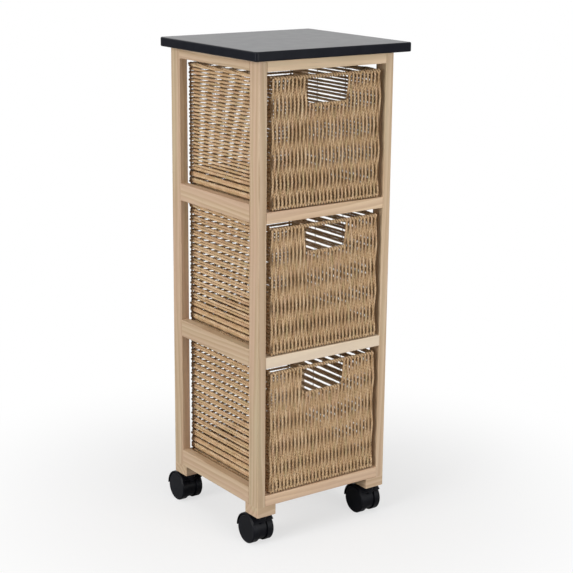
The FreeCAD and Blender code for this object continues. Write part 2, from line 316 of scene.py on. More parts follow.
def seagrass():
    material, g, shader = new_material("seagrass", roughness=0.75, specular=0.08)

    def left_by_sweep(name, output=2):
        return g.out("ShaderNodeAttribute", output=output, attribute_name=name)

    along, row, dip_shading = [left_by_sweep(name) for name in ("along", "row", "dip_shading")]
    turn = g.add("ShaderNodeSeparateXYZ", {0: left_by_sweep("turn", 1)}).outputs
    groove = g.math("ABSOLUTE", turn[0])
    wound = g.xyz(turn[0], turn[1], g.times(along, 90.0))
    fibre = g.noise(g.vector("MULTIPLY", wound, (4.0, 4.0, 1.0)), 1.0, 3.0)
    blotch = g.noise(g.xyz(g.times(row, 7.31), g.times(along, 55.0)), 1.0, 3.0)
    strand_tone = g.out("ShaderNodeTexWhiteNoise", {"W": row}, noise_dimensions="1D")
    field = g.noise(g.own_place(), 28.0, 2.0)
    tone = g.plus(g.times(fibre, 0.42), g.times(blotch, 0.40), g.times(strand_tone, 0.16),
                  g.times(field, 0.08))
    straw = g.ramp(tone, straw_stops)
    tint = g.noise(g.xyz(g.times(row, 3.77), g.times(along, 22.0)), 1.0, 2.0)
    green = g.mixed(g.remap(tint, 0.54, 0.70, 0.0, 0.5, smooth=True), straw, green_grass)
    pink = g.mixed(g.remap(tint, 0.46, 0.32, 0.0, 0.4, smooth=True), green, pink_grass)
    # Painted shade: darker in the groove between the plies.
    twisted = g.mixed(g.remap(groove, 0.0, 0.4, 0.5, 0.0, smooth=True), pink, painted_groove_shade)
    # Painted shade: darker where the strand lies deep in a dip of the weave.
    colour = g.mixed(g.remap(dip_shading, 0.42, 0.85, 0.0, 0.9, smooth=True), twisted, painted_dip_shade)
    height = g.plus(g.times(g.math("POWER", groove, 0.6), 0.75), g.times(fibre, 0.35))
    plug(g, shader, colour, None, height, bump=0.75, distance=0.6 * MM)
    return material


# %% Wire, plastic and zinc
def coated_wire():
    material, g, shader = new_material("cage_wire", roughness=0.45)
    wear = g.noise(g.own_place(), 160.0, 4.0)
    colour = g.ramp(wear, [(0.35, (0.26, 0.18, 0.11)), (0.65, (0.38, 0.28, 0.18))])
    rough = g.remap(wear, 0.3, 0.7, 0.35, 0.6)
    plug(g, shader, colour, rough, wear, bump=0.1, distance=0.1 * MM)
    return material


def black_plastic(name, fineness):
    material, g, shader = new_material(name, roughness=0.42)
    slanted_gloss(g, shader, 0.12, 0.5)
    place = g.own_place()
    grain = g.noise(place, fineness, 2.0)
    cloud = g.noise(place, 60.0, 3.0)
    colour = g.ramp(cloud, [(0.3, (0.0034, 0.0038, 0.0056)), (0.7, (0.0055, 0.0062, 0.0092))])
    rough = g.remap(cloud, 0.3, 0.7, 0.34, 0.46)
    plug(g, shader, colour, rough, grain, bump=0.12, distance=0.1 * MM)
    return material


def zinc():
    material, g, shader = new_material("zinc_steel", roughness=0.35)
    shader.inputs["Metallic"].default_value = 1.0
    spangle = g.noise(g.own_place(), 380.0, 3.0)
    colour = g.ramp(spangle, [(0.35, (0.48, 0.49, 0.50)), (0.65, (0.66, 0.66, 0.65))])
    rough = g.remap(spangle, 0.3, 0.7, 0.26, 0.46)
    plug(g, shader, colour, rough, spangle, bump=0.05, distance=0.1 * MM)
    return material


# %% Make the finishes and dress the castors
seagrass_finish = seagrass()
wire_finish = coated_wire()
housing_finish = black_plastic("housing_plastic", 1400.0)
wheel_finish = black_plastic("wheel_plastic", 900.0)
zinc_finish = zinc()
castor_finishes = {"housing": housing_finish, "left": wheel_finish, "right": wheel_finish,
                   "axle": zinc_finish, "stems": zinc_finish}
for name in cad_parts:
    finish = castor_finishes.get(name.rsplit("_", 1)[-1])
    if finish and name.startswith("castor"):
        finish_node(name, finish)
print("finishes:", len(bpy.data.materials))

# %% [markdown]
# ## Guides for the weave
# A strand follows a guide: a line of points with values written on each point. One is the way out
# of the basket's wall. One counts the wires that the line has crossed, as 0, 1, 2 and so on with
# shares between, so that a cosine of it swings a strand in front of one wire and behind the next.
# With the count written on the points, the wires may stand at any spacing. Two more say how
# strongly the rows draw together in pairs there, and how full a strand is.

# %% Paths with rounded corners
point_spacing = 1.5 * MM


def rounded_path(corners, radius, closed=False):
    """Straight runs joined by arcs, as evenly spaced points. A radius may differ by corner."""
    corners = [Vector(c) for c in corners]
    count = len(corners)
    radii = radius if isinstance(radius, list) else [radius] * count
    pieces = []
    for k, corner in enumerate(corners):
        if not closed and k in (0, count - 1):
            pieces.append([corner])
            continue
        before = (corners[k - 1] - corner).normalized()
        after = (corners[(k + 1) % count] - corner).normalized()
        half_angle = before.angle(after) / 2
        centre = corner + (before + after).normalized() * (radii[k] / math.sin(half_angle))
        reach = radii[k] / math.tan(half_angle)
        start, end = corner + before * reach - centre, corner + after * reach - centre
        parts = max(3, math.ceil(start.angle(end) * radii[k] / point_spacing))
        pieces.append([centre + start.slerp(end, i / parts) * radii[k] for i in range(parts + 1)])
    if closed:
        pieces.append(pieces[0][:1])
    points = list(pieces[0])
    for piece in pieces[1:]:
        run = piece[0] - points[-1]
        parts = max(1, math.ceil(run.length / point_spacing))
        start = points[-1]
        points += [start + run * (i / parts) for i in range(1, parts)]
        points += piece
    return points[:-1] if closed else points


# %% Guides as meshes of edges
def guide_mesh(name, lines, closed=False, crossings=None, outwards=None, paired=1.0, fuller=1.0):
    """Lines of points as a mesh of edges, with the weave's attributes where they are given."""
    mesh = bpy.data.meshes.new(name)
    points, edges = [], []
    for line in lines:
        first = len(points)
        points += [tuple(p) for p in line]
        edges += [(first + i, first + i + 1) for i in range(len(line) - 1)]
        if closed:
            edges.append((len(points) - 1, first))
    mesh.from_pydata(points, edges, [])
    if crossings is not None:
        plain = np.zeros(len(points))
        written = {"crossing": crossings, "paired": paired + plain, "fuller": fuller + plain}
        for label, values in written.items():
            on_points = mesh.attributes.new(label, "FLOAT", "POINT")
            on_points.data.foreach_set("value", np.array(values, np.float32))
        on_points = mesh.attributes.new("outward", "FLOAT_VECTOR", "POINT")
        on_points.data.foreach_set("vector", np.array(outwards, np.float32).ravel())
    return mesh


# %% [markdown]
# ## One tree that lays and twists a strand
# Seagrass is spun into a cord of two plies, so a strand is flat across and its flat turns as it
# runs: from the side it looks like a row of beads. Every woven or wound piece ends as such a strand,
# so it is a node group of its own. It sweeps an oval along the curve, turns the curve's tilt for
# the twist, lets the thickness vary, and leaves the attributes that the seagrass finish reads.


# %% Trees and their named inputs
def new_tree(name, inputs):
    """A Geometry Nodes tree with named inputs. Gives the tree, its helper and the input sockets."""
    tree = bpy.data.node_groups.new(name, "GeometryNodeTree")
    tree.interface.new_socket("Geometry", in_out="OUTPUT", socket_type="NodeSocketGeometry")
    for label, kind in inputs.items():
        tree.interface.new_socket(label, in_out="INPUT", socket_type="NodeSocket" + kind)
    g = Graph(tree)
    sockets = {s.name: s for s in g.add("NodeGroupInput").outputs if s.name}
    return tree, g, sockets


def close_tree(g, geometry):
    g.tree.links.new(geometry, g.add("NodeGroupOutput").inputs[0])
    print("tree:", g.tree.name, "with", len(g.tree.nodes), "nodes")


def attribute(g, name, kind="FLOAT"):
    return g.out("GeometryNodeInputNamedAttribute", {"Name": name}, data_type=kind)


def store(g, geometry, name, value, kind="FLOAT", domain="POINT"):
    inputs = {"Geometry": geometry, "Name": name, "Value": value}
    return g.out("GeometryNodeStoreNamedAttribute", inputs, data_type=kind, domain=domain)


# %% The strand tree
twist_pitch = 10.5 * MM
strand_flatness = 0.72
strand_sizes = {"Radius": "Float", "Unevenness": "Float", "Sides": "Int", "Seed": "Int",
                "Material": "Material"}


def strand_group():
    """Curve in, twisted strand out."""
    tree, g, s = new_tree("strand", {"Curve": "Geometry", **strand_sizes})
    row = attribute(g, "row")
    length = g.out("GeometryNodeSplineParameter", output=1)
    along = g.plus(length, g.times(row, 0.0437))
    place = g.out("GeometryNodeInputPosition")
    shifted = g.vector("ADD", place, g.xyz(g.times(row, 0.371), s["Seed"]))
    lump = g.math("SUBTRACT", g.noise(shifted, 90.0, 2.0), 0.5)
    radius = g.times(s["Radius"], g.plus(1.0, g.times(lump, s["Unevenness"])))
    radius = g.times(radius, attribute(g, "girth"))
    curve = store(g, s["Curve"], "along", along)
    twist = g.times(g.plus(along, g.times(lump, 6 * MM)), 2 * math.pi / twist_pitch)
    curve = g.out("GeometryNodeSetCurveTilt", {"Curve": curve, "Tilt": twist})
    ring = g.out("GeometryNodeCurvePrimitiveCircle", {"Resolution": s["Sides"], "Radius": 1.0})
    ring = store(g, ring, "turn", g.out("GeometryNodeInputPosition"), "FLOAT_VECTOR")
    oval = g.vector("MULTIPLY", g.out("GeometryNodeInputPosition"), (1.0, strand_flatness, 1.0))
    ring = g.out("GeometryNodeSetPosition", {"Geometry": ring, "Position": oval})
    inputs = {"Curve": curve, "Profile Curve": ring, "Scale": radius, "Fill Caps": True}
    mesh = g.out("GeometryNodeCurveToMesh", inputs)
    smooth = g.out("GeometryNodeSetShadeSmooth", {"Geometry": mesh})
    close_tree(g, g.out("GeometryNodeSetMaterial", {"Geometry": smooth, "Material": s["Material"]}))
    return tree


strand_tree = strand_group()


# %% The strand tree inside another
def swept_strand(g, s, curve):
    """The strand group inside another tree, fed from that tree's own inputs."""
    inner = g.add("GeometryNodeGroup", node_tree=strand_tree)
    g.tree.links.new(curve, inner.inputs["Curve"])
    for label in strand_sizes:
        g.tree.links.new(s[label], inner.inputs[label])
    return inner.outputs[0]


def finish_tree(g, s, mesh):
    """Every tree ends in real geometry with its material."""
    mesh = g.out("GeometryNodeRealizeInstances", {"Geometry": mesh})
    close_tree(g, g.out("GeometryNodeSetMaterial", {"Geometry": mesh, "Material": s["Material"]}))


# %% [markdown]
# ## The weave itself
# Plain weave is a rule: neighbouring strands pass a wire on opposite sides, and each strand swaps
# sides at the next wire. The tree copies the guide once for each row, swings the rows by the rule,
# lets them wander a little as handwork does, draws them together in pairs, cuts out the handle hole
# and sweeps the strands. It also notes how deep each point of the surface lies, and the finish
# paints shade into the dips by that depth. Each of these is a field, so it gets a short function of
# its own.

# %% The swing between the wires
sharpness = 0.92


def swing_field(g, s, row, own):
    """1 where a strand passes outside a wire and -1 inside it. Slip makes it early or late."""
    late = g.times(g.math("SUBTRACT", g.noise(own, 16.0, 1.0), 0.5), s["Slip"])
    turns = g.times(g.plus(attribute(g, "crossing"), late, row), math.pi)
    wave = g.times(g.math("COSINE", turns), sharpness)
    return g.math("DIVIDE", g.math("ARCSINE", wave), math.asin(sharpness))


def girth_field(g, s, swing):
    """A strand spreads a little at every wire and fills out where it passes inside one."""
    near_wire = g.math("POWER", g.math("ABSOLUTE", swing), 1.5)
    inside_wire = g.math("MAXIMUM", g.times(swing, -1.0), 0.0)
    fullness = g.plus(g.times(near_wire, s["Spread"]), g.times(inside_wire, s["Filling"]))
    return g.times(g.plus(1.0, fullness), attribute(g, "fuller"))


# %% The wandering and the pairs
def drift_field(g, s, row, own):
    """Slow and quick wandering, and every second row's lean towards its neighbour."""
    slow = g.scaled(g.shake(own, 13.0, 2.0), s["Wander"])
    quick = g.scaled(g.shake(own, 95.0, 1.0), g.times(s["Wander"], 0.7))
    parity = g.math("SUBTRACT", g.math("MODULO", row, 2.0), 0.5)
    share = g.times(g.times(parity, s["Pairing"]), attribute(g, "paired"))
    return g.vector("ADD", g.vector("ADD", slow, quick), g.scaled(s["Step"], share))


# %% The handle hole and the depth
def hole_field(g, s, place):
    """True in the box from Hole Low to Hole High, with its corners rounded."""
    middle = g.scaled(g.vector("ADD", s["Hole Low"], s["Hole High"]), 0.5)
    reach = g.scaled(g.vector("SUBTRACT", s["Hole High"], s["Hole Low"]), 0.5)
    corner = g.xyz(x=s["Hole Corner"], z=s["Hole Corner"])
    from_middle = g.vector("ABSOLUTE", g.vector("SUBTRACT", place, middle))
    past = g.vector("SUBTRACT", from_middle, g.vector("SUBTRACT", reach, corner))
    outside = g.measure("LENGTH", g.vector("MAXIMUM", past, (0.0, 0.0, 0.0)))
    return g.math("LESS_THAN", outside, g.math("SUBTRACT", s["Hole Corner"], 0.01 * MM))


# The depth sets how much painted shade a point of a strand gets.
def depth_field(g, outward):
    """0 on the crest of a strand and 1 at the bottom of a dip, seen from either side of the wall."""
    facing = g.measure("DOT_PRODUCT", g.out("GeometryNodeInputNormal"), outward)
    half = g.math("MULTIPLY_ADD", facing, 0.5, 0.5)
    inside = g.math("MULTIPLY_ADD", attribute(g, "swing"), -0.5, 0.5)
    other_side = g.times(g.math("SUBTRACT", 1.0, inside), g.math("SUBTRACT", 1.0, half))
    return g.plus(g.times(inside, half), other_side)


# %% The weave tree
weave_sizes = {"Rows": "Int", "Step": "Vector", "Pairing": "Float", "Swing": "Float",
               "Wander": "Float", "Slip": "Float", "Spread": "Float", "Filling": "Float",
               "Hole Low": "Vector", "Hole High": "Vector", "Hole Corner": "Float",
               "Shade": "Float"}


def weave():
    tree, g, s = new_tree("weave", {"Guide": "Geometry", **weave_sizes, **strand_sizes})
    inputs = {"Count": s["Rows"], "Start Location": (0.0, 0.0, 0.0), "Offset": s["Step"]}
    line = g.out("GeometryNodeMeshLine", inputs)
    rows = g.out("GeometryNodeInstanceOnPoints", {"Points": line, "Instance": s["Guide"]})
    rows = store(g, rows, "row", g.out("GeometryNodeInputIndex"), "FLOAT", "INSTANCE")
    laid = g.out("GeometryNodeRealizeInstances", {"Geometry": rows})
    row = attribute(g, "row")
    outward = attribute(g, "outward", "FLOAT_VECTOR")
    place = g.out("GeometryNodeInputPosition")
    own = g.vector("ADD", place, g.xyz(g.times(row, 0.731), g.times(row, 0.417), s["Seed"]))
    swing = swing_field(g, s, row, own)
    laid = store(g, laid, "swing", swing)
    laid = store(g, laid, "girth", girth_field(g, s, swing))
    swung = g.scaled(outward, g.times(swing, s["Swing"]))
    moved = g.vector("ADD", swung, drift_field(g, s, row, own))
    inputs = {"Geometry": laid, "Selection": hole_field(g, s, place)}
    laid = g.out("GeometryNodeDeleteGeometry", inputs)
    laid = g.out("GeometryNodeSetPosition", {"Geometry": laid, "Offset": moved})
    mesh = swept_strand(g, s, g.out("GeometryNodeMeshToCurve", {"Mesh": laid}))
    # Painted shade for the dips: the depth, times Shade, darkens the strand's colour.
    mesh = store(g, mesh, "dip_shading", g.times(depth_field(g, outward), s["Shade"]))
    for spare in ("swing", "crossing", "outward", "girth", "paired", "fuller"):
        mesh = g.out("GeometryNodeRemoveAttribute", {"Geometry": mesh, "Name": spare})
    finish_tree(g, s, mesh)
    return tree


weave_tree = weave()


# %% [markdown]
# ## Bindings
# Where strands turn over the front's rim, its foot or the edge below the handle hole they show as a
# row of small loops, and along the side rims several strands are laid round the wire in a long
# twist. Both are a helix round a path: many short turns of one strand, or few long turns of several.


# %% The binding tree
def binding():
    own_sizes = {"Path": "Geometry", "Starts": "Int", "Pitch": "Float", "Coil Radius": "Float",
                 "Turn Points": "Float"}
    tree, g, s = new_tree("binding", {**own_sizes, **strand_sizes})
    curve = g.out("GeometryNodeMeshToCurve", {"Mesh": s["Path"]})
    length = g.math("DIVIDE", s["Pitch"], s["Turn Points"])
    curve = g.out("GeometryNodeResampleCurve", {"Curve": curve, "Length": length}, mode="LENGTH")
    starts = g.out("GeometryNodeMeshLine", {"Count": s["Starts"], "Offset": (0.0, 0.0, 0.0)})
    wound = g.out("GeometryNodeInstanceOnPoints", {"Points": starts, "Instance": curve})
    wound = store(g, wound, "row", g.out("GeometryNodeInputIndex"), "FLOAT", "INSTANCE")
    wound = g.out("GeometryNodeRealizeInstances", {"Geometry": wound})
    share = g.math("DIVIDE", attribute(g, "row"), s["Starts"])
    length = g.out("GeometryNodeSplineParameter", output=1)
    angle = g.times(g.plus(g.math("DIVIDE", length, s["Pitch"]), share), 2 * math.pi)
    normal = g.out("GeometryNodeInputNormal")
    side = g.vector("CROSS_PRODUCT", g.out("GeometryNodeInputTangent"), normal)
    moved = g.vector("ADD", g.scaled(normal, g.times(g.math("COSINE", angle), s["Coil Radius"])),
                     g.scaled(side, g.times(g.math("SINE", angle), s["Coil Radius"])))
    wound = g.out("GeometryNodeSetPosition", {"Geometry": wound, "Offset": moved})
    wound = store(g, wound, "girth", 1.0)
    # Bindings get no painted dip shade.
    mesh = store(g, swept_strand(g, s, wound), "dip_shading", 0.0)
    mesh = g.out("GeometryNodeRemoveAttribute", {"Geometry": mesh, "Name": "girth"})
    finish_tree(g, s, mesh)
    return tree


binding_tree = binding()


# %% The wire tree
def wires():
    inputs = {"Path": "Geometry", "Radius": "Float", "Sides": "Int", "Material": "Material"}
    tree, g, s = new_tree("wires", inputs)
    curve = g.out("GeometryNodeMeshToCurve", {"Mesh": s["Path"]})
    inputs = {"Resolution": s["Sides"], "Radius": s["Radius"]}
    ring = g.out("GeometryNodeCurvePrimitiveCircle", inputs)
    inputs = {"Curve": curve, "Profile Curve": ring, "Fill Caps": True}
    mesh = g.out("GeometryNodeCurveToMesh", inputs)
    finish_tree(g, s, g.out("GeometryNodeSetShadeSmooth", {"Geometry": mesh}))
    return tree


wire_tree = wires()


# %% Run a tree and keep its mesh
def grow(tree, guide, **sizes):
    """The plain mesh that a tree makes of a guide. Inputs are set by their identifiers."""
    holder = bpy.data.objects.new("holder", guide)
    bpy.context.scene.collection.objects.link(holder)
    modifier = holder.modifiers.new("grow", "NODES")
    modifier.node_group = tree
    items = [item for item in tree.interface.items_tree if item.in_out == "INPUT"]
    sockets = {item.name: item.identifier for item in items}
    for label, value in sizes.items():
        modifier[sockets[label.replace("_", " ")]] = value
    bpy.context.view_layer.update()
    evaluated = holder.evaluated_get(bpy.context.evaluated_depsgraph_get())
    mesh = bpy.data.meshes.new_from_object(evaluated)
    bpy.data.objects.remove(holder)
    bpy.data.meshes.remove(guide)
    return mesh


# %% Join meshes into a piece
def joined(name, meshes, body, slot, *replaced):
    """Several grown meshes as one finished piece that rides on a body."""
    whole = bmesh.new()
    for mesh in meshes:
        whole.from_mesh(mesh)
    materials = list(meshes[0].materials)
    result = bpy.data.meshes.new(name)
    whole.to_mesh(result)
    whole.free()
    for material in materials:
        result.materials.append(material)
    for mesh in meshes:
        bpy.data.meshes.remove(mesh)
    piece = bpy.data.objects.new(name, result)
    bpy.context.scene.collection.objects.link(piece)
    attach(piece, body)
    if replaced:
        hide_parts(*replaced)
    triangles = sum(len(p.vertices) - 2 for p in result.polygons)
    print(name, "has", triangles, "triangles")


# %% [markdown]
# ## A basket's places
# All sizes come from the solids that the woven pieces stand for. The middle line of the strands,
# and that of the rim and foot wires, lies a little inside the solid's outer face.

# %% Where a basket's walls lie
wall_inset = 3.0 * MM
front_inset = 3.2 * MM


def basket_places(level):
    low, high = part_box(level + "_basket_side_weave")
    return {"left": low.x + wall_inset, "right": high.x - wall_inset, "front": low.y + front_inset,
            "back": high.y - wall_inset, "foot": low.z, "rim": high.z,
            "foot_wire": low.z + wall_inset, "rim_wire": high.z - wall_inset}


# %% [markdown]
# ## The sides and back
# A band of level strands runs from one front upright round the sides and back to the other. The
# side rows draw together in pairs, most in the bottom basket and hardly at all in the top one.
# Slits stay open between the rows, and light that comes through both walls shows as bright specks.
# Below the band lies a belt of thicker strands, close together, and at the top three strands are
# laid round the rim's wire.

# %% The plan line of the band
corner_radius = 1.6 * MM
corner_push, corner_push_reach = 2.0 * MM, 12 * MM
band_end_gap = 2.5 * MM
wires_per_side = 3


def band_line(walls, front):
    """Points along the sides and back at the foot. A stout corner wire pushes the corners out."""
    corners = [(walls["left"], front, walls["foot"]), (walls["left"], walls["back"], walls["foot"]),
               (walls["right"], walls["back"], walls["foot"]), (walls["right"], front, walls["foot"])]
    points = rounded_path(corners, corner_radius)
    for point in points:
        for side, way in (("left", -1.0), ("right", 1.0)):
            away = math.hypot(point.x - walls[side], point.y - walls["back"])
            share = max(0.0, 1.0 - away / corner_push_reach)
            point += Vector((way, 1.0, 0.0)) * (corner_push * share ** 2)
    return points


# %% The wires that the band crosses
def band_guide(walls):
    """The band's points, their counts and outward ways, and the places of the upright wires."""
    front = walls["front"] + band_end_gap
    points = band_line(walls, front)
    places = np.array(points)
    lengths = np.concatenate([[0], np.cumsum(np.linalg.norm(np.diff(places, axis=0), axis=1))])
    saved = corner_radius * (2 - math.pi / 2) / 2
    side = walls["back"] - front - saved
    back = walls["right"] - walls["left"] - 2 * saved
    counts = np.interp(lengths, [0, side, side + back, 2 * side + back],
                       [0, wires_per_side, 2 * wires_per_side, 3 * wires_per_side])
    ahead = np.gradient(places, axis=0)
    ahead /= np.linalg.norm(ahead, axis=1)[:, None]
    outward = np.stack([-ahead[:, 1], ahead[:, 0], 0 * ahead[:, 2]], 1)
    rods = [[np.interp(k, counts, places[:, axis]) for axis in range(2)]
            for k in range(1, 3 * wires_per_side)]
    return points, counts, outward, rods


# %% How strongly rows pair, and how full they are
# The reach is in millimetres from the front strands.
end_reach = [8, 24]
left_side_pairs, back_pairs, right_side_pairs = 1.0, 0.15, 1.2
end_fullness = 1.3


def side_shares(walls, points, outward):
    """Side rows pair more than back rows. Near the front ends they part and fill out."""
    from_end = np.array([v.y - walls["front"] for v in points]) / MM
    paired = np.interp(outward[:, 0], [-0.8, -0.2, 0.2, 0.8],
                       [left_side_pairs, back_pairs, back_pairs, right_side_pairs])
    paired *= np.interp(from_end, end_reach, [0.0, 1.0])
    return paired, np.interp(from_end, end_reach, [end_fullness, 1.0])


# %% The band
band_rows = 27
band_start, band_rim_gap = 38 * MM, 10.0 * MM
strand_radius = 2.41 * MM
pairing = {"bottom": 0.30, "middle": 0.22, "top": 0.06}
no_hole = {"Hole_Low": (0.0, 0.0, -1.0), "Hole_High": (0.0, 0.0, -1.0), "Hole_Corner": 0.0}


def band_mesh(walls, level, points, written, grass):
    lifted = [v + Vector((0, 0, band_start)) for v in points]
    last = walls["rim"] - walls["foot"] - band_rim_gap
    row_step = (0.0, 0.0, (last - band_start) / (band_rows - 1))
    return grow(weave_tree, guide_mesh("band", [lifted], **written), Rows=band_rows, Step=row_step,
                Pairing=pairing[level], Swing=0.4 * MM, Wander=0.9 * MM, Slip=0.3, Spread=0.06,
                Filling=0.0, Shade=0.3, Radius=strand_radius, Unevenness=0.3, Sides=6,
                **no_hole, **grass)


# %% The belt and the rim
belt_rows = 6
belt_step = 5.6 * MM
belt_radius = 3.1 * MM
belt_lift = 0.2 * MM
rim_twist = {"Starts": 3, "Pitch": 120 * MM, "Coil_Radius": 1.9 * MM, "Turn_Points": 80.0,
             "Radius": 2.3 * MM, "Unevenness": 0.35, "Sides": 8}


def belt_mesh(points, written, grass):
    lifted = [v + Vector((0, 0, belt_radius + belt_lift)) for v in points]
    return grow(weave_tree, guide_mesh("belt", [lifted], **written), Rows=belt_rows,
                Step=(0.0, 0.0, belt_step), Pairing=0.42, Swing=0.3 * MM, Wander=1.0 * MM,
                Slip=0.6, Spread=0.0, Filling=0.0, Shade=0.4, Radius=belt_radius,
                Unevenness=0.4, Sides=8, **no_hole, **grass)


def rim_mesh(walls, points, grass):
    path = [Vector((v.x, v.y, walls["rim_wire"])) for v in points]
    return grow(binding_tree, guide_mesh("rim", [path]), **rim_twist, **grass)


# %% [markdown]
# ## The front
# The front has upright strands over level wires, so its crests and dips lie in level bands. The
# wires stand a little closer together towards the foot. The handle hole is cut out of the strands,
# and its lower edge, the rim and the foot are bound with small loops.

# %% The front's level wires
# Drops from the rim in millimetres, and how many wires a strand has passed at each.
front_wire_drops = [0, 8, 45, 89, 130, 166, 196, 206]
front_wire_counts = [-0.3, 0, 1, 2, 3, 4, 5, 5.35]

# %% The handle hole
hole_height, hole_drop = 36.5 * MM, 7 * MM
hole_reach_left = {"bottom": 41.9 * MM, "middle": 38.3 * MM, "top": 38.3 * MM}
hole_reach_right = 40.1 * MM
hole_corner = 12 * MM
hole_edge = 1.6 * MM


def hole_places(walls, level):
    """The hole's left, right, bottom and top."""
    middle = (walls["left"] + walls["right"]) / 2
    top = walls["rim"] - hole_drop
    return middle - hole_reach_left[level], middle + hole_reach_right, top - hole_height, top


# %% One upright line of the front
front_margin = 3 * MM


def front_guide(walls, x):
    """The line's points, with the count of level wires and the outward way of each."""
    hole_top = walls["rim"] - hole_drop
    stops = [walls["foot"] + front_margin, hole_top - hole_height, hole_top,
             walls["rim"] - front_margin]
    heights = [stops[0]]
    for low, high in zip(stops, stops[1:]):
        parts = math.ceil((high - low) / point_spacing)
        heights += [low + (high - low) * i / parts for i in range(1, parts + 1)]
    drops = [(walls["rim"] - z) / MM for z in heights]
    counts = np.interp(drops, front_wire_drops, front_wire_counts)
    points = [(x, walls["front"], z) for z in heights]
    return points, counts, [(0.0, -1.0, 0.0)] * len(points)


# %% The front's strands
front_rows = 58
front_side_reach = 0.9 * MM
front_strand_radius = 2.18 * MM
front_shade = {"bottom": 0.74, "middle": 0.84, "top": 1.0}


def front_span(walls):
    """The first and the last strand's x, and the pitch between strands."""
    first, last = walls["left"] - front_side_reach, walls["right"] + front_side_reach
    return first, last, (last - first) / (front_rows - 1)


def front_mesh(walls, level, grass):
    first, _, pitch = front_span(walls)
    left, right, bottom, top = hole_places(walls, level)
    line, counts, outward = front_guide(walls, first)
    guide = guide_mesh("front", [line], crossings=counts, outwards=outward)
    return grow(weave_tree, guide, Rows=front_rows, Step=(pitch, 0.0, 0.0), Pairing=0.0,
                Swing=2.1 * MM, Wander=0.95 * MM, Slip=0.3, Spread=0.0, Filling=0.42,
                Hole_Low=(left - hole_edge, -1.0, bottom - hole_edge),
                Hole_High=(right + hole_edge, 1.0, top + hole_corner), Hole_Corner=hole_corner,
                Shade=front_shade[level], Radius=front_strand_radius, Unevenness=0.4, Sides=8,
                **grass)


# %% The front's bound edges
strands_per_loop = 1.45
hole_loop_inset, hole_loop_drop = 5 * MM, 3.9 * MM
loop_sizes = {"Starts": 1, "Coil_Radius": 2.0 * MM, "Turn_Points": 10.0, "Radius": 1.9 * MM,
              "Unevenness": 0.35, "Sides": 7}


def front_edges(walls, level, grass):
    first, last, pitch = front_span(walls)
    left, right, bottom, _ = hole_places(walls, level)
    spans = [(first, last, walls["rim_wire"]), (first, last, walls["foot_wire"]),
             (left + hole_loop_inset, right - hole_loop_inset, bottom - hole_loop_drop)]
    lines = [[(start, walls["front"], z), (end, walls["front"], z)] for start, end, z in spans]
    guide = guide_mesh("edges", lines)
    return grow(binding_tree, guide, Pitch=strands_per_loop * pitch, **loop_sizes, **grass)


# %% [markdown]
# ## The bottom and the cage
# The bottom's strands run from side to side over wires that run from front to back. The cage is
# welded from thin wires, with thicker loops at the rim and the foot, and a stouter upright in each
# back corner. It shows through the handle hole and as a dark line at the end of a side wall.

# %% The bottom
base_wires = 7
base_step = 4.3 * MM
base_edge_gap = 4.5 * MM
base_side_gap = 3 * MM


def base_mesh(walls, grass):
    rows = int((walls["back"] - walls["front"] - 2 * base_edge_gap) / base_step)
    start_y = (walls["front"] + walls["back"] - (rows - 1) * base_step) / 2
    ends = [(walls["left"] + base_side_gap, start_y, walls["foot_wire"]),
            (walls["right"] - base_side_gap, start_y, walls["foot_wire"])]
    line = rounded_path(ends, 0)
    counts = [base_wires * i / (len(line) - 1) + 0.5 for i in range(len(line))]
    down = [(0.0, 0.0, -1.0)] * len(line)
    guide = guide_mesh("base", [line], crossings=counts, outwards=down)
    return grow(weave_tree, guide, Rows=rows, Step=(0.0, base_step, 0.0), Pairing=0.0,
                Swing=1.6 * MM, Wander=0.9 * MM, Slip=0.2, Spread=0.0, Filling=0.2, Shade=0.8,
                Radius=2.3 * MM, Unevenness=0.4, Sides=6, **no_hole, **grass)


# %% The cage's thin wires
wire_radius = 0.6 * MM
loop_radius = 1.5 * MM
corner_wire_radius = 1.5 * MM
front_loop_corner = 3 * MM


def wire_mesh(name, lines, radius, closed=False):
    guide = guide_mesh(name, lines, closed)
    return grow(wire_tree, guide, Radius=radius, Sides=8, Material=wire_finish)


def front_and_base_wires(walls):
    """Level wires in front, wires under the bottom and the two front uprights."""
    left, right, front, back = (walls[side] for side in ("left", "right", "front", "back"))
    foot, rim = walls["foot_wire"], walls["rim_wire"]
    heights = [walls["rim"] - drop * MM for drop in front_wire_drops[2:-1]]
    lines = [[(left, front, z), (right, front, z)] for z in heights]
    places = [left + (right - left) * (k - 0.5) / base_wires for k in range(1, base_wires + 1)]
    lines += [[(x, front, foot), (x, back, foot)] for x in places]
    lines += [[(x, front, foot), (x, front, rim)] for x in (left, right)]
    return lines


# %% The cage
def cage_meshes(walls, rods):
    uprights = [[(x, y, walls["foot_wire"]), (x, y, walls["rim_wire"])] for x, y in rods]
    corners = [uprights.pop(2 * wires_per_side - 1), uprights.pop(wires_per_side - 1)]
    stout = wire_mesh("corners", corners, corner_wire_radius)
    thin = wire_mesh("thin", uprights + front_and_base_wires(walls), wire_radius)
    ring = [(walls[side], walls[end]) for side, end in (("left", "front"), ("left", "back"),
                                                        ("right", "back"), ("right", "front"))]
    radii = [front_loop_corner, corner_radius, corner_radius, front_loop_corner]
    loops = [rounded_path([(x, y, z) for x, y in ring], radii, closed=True)
             for z in (walls["rim_wire"], walls["foot_wire"])]
    return [thin, stout, wire_mesh("thick", loops, loop_radius, closed=True)]


